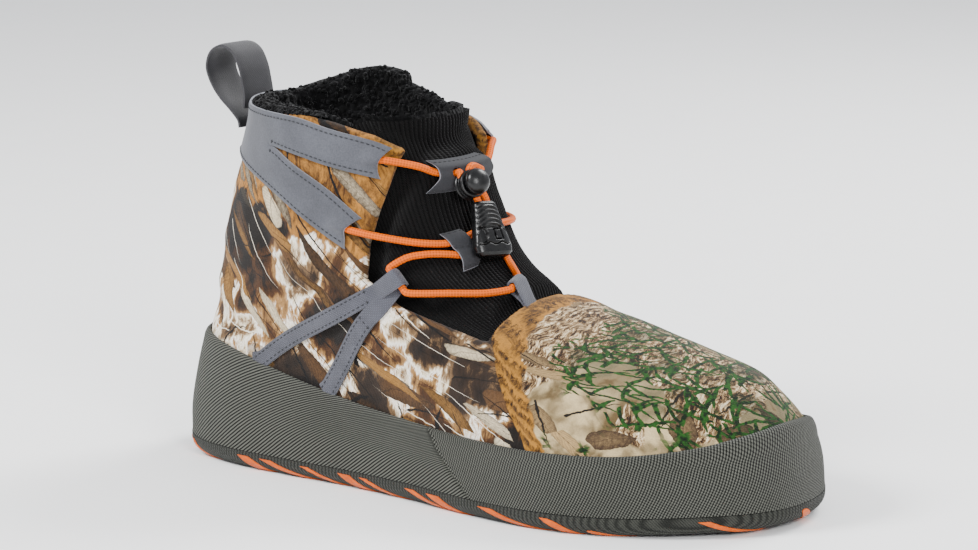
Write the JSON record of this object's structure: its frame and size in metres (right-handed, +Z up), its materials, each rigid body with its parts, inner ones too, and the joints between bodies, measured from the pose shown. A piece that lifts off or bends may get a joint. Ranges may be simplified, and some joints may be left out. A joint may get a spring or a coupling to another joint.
{
  "type": "winter overshoe",
  "caption": "Insulated fabric overshoe with a soft wrapped sole, knit throat, V-shaped collar overlay, heel pull loop and elastic cord lacing with a push-button lock.",
  "frame": {"origin": "centre of the flat face under the sole, on the floor, at half the sole's length", "axes": "+X to the toe, +Y to the inner (medial) side, +Z up"},
  "size_m": [0.302, 0.1273, 0.1733],
  "materials": {
    "sole_fabric": "ribbed woven fabric with a rubbery grip print under the sole",
    "fleece": "deep fleece",
    "camo_cloth": "brushed printed cloth",
    "rib_knit": "ribbed knit",
    "overlay": "fine-napped synthetic",
    "webbing": "fine flat webbing",
    "lace": "smooth round elastic braid",
    "black_plastic": "satin moulded"
  },
  "bodies": {
    "boot": {"outsole": "sole_fabric", "insole": "fleece", "upper": "camo_cloth", "tongue": "rib_knit", "rand_heel": "sole_fabric", "rand_toe": "sole_fabric", "collar_overlay": "overlay", "strap_lateral": "webbing", "loop_medial": "webbing", "pull_loop": "webbing", "tab_upper": "overlay", "tab_lower": "overlay", "lace_top_lateral": "lace", "lace_top_medial": "lace", "lace_middle": "lace", "lace_lower": "lace", "lace_bar": "lace", "lace_tail_lateral": "lace", "lace_tail_medial": "lace", "cord_lock": "black_plastic", "cord_grip": "black_plastic"},
    "lock_button": {"lock_button": "black_plastic"}
  },
  "joints": [
    {"name": "button_press", "type": "slide", "parent": "boot", "child": "lock_button", "axis": [-0.8771, 0.319, -0.359], "range_m": [0, 0.0014], "stiffness_N_per_m": 1000, "springref_m": -0.001}
  ]
}
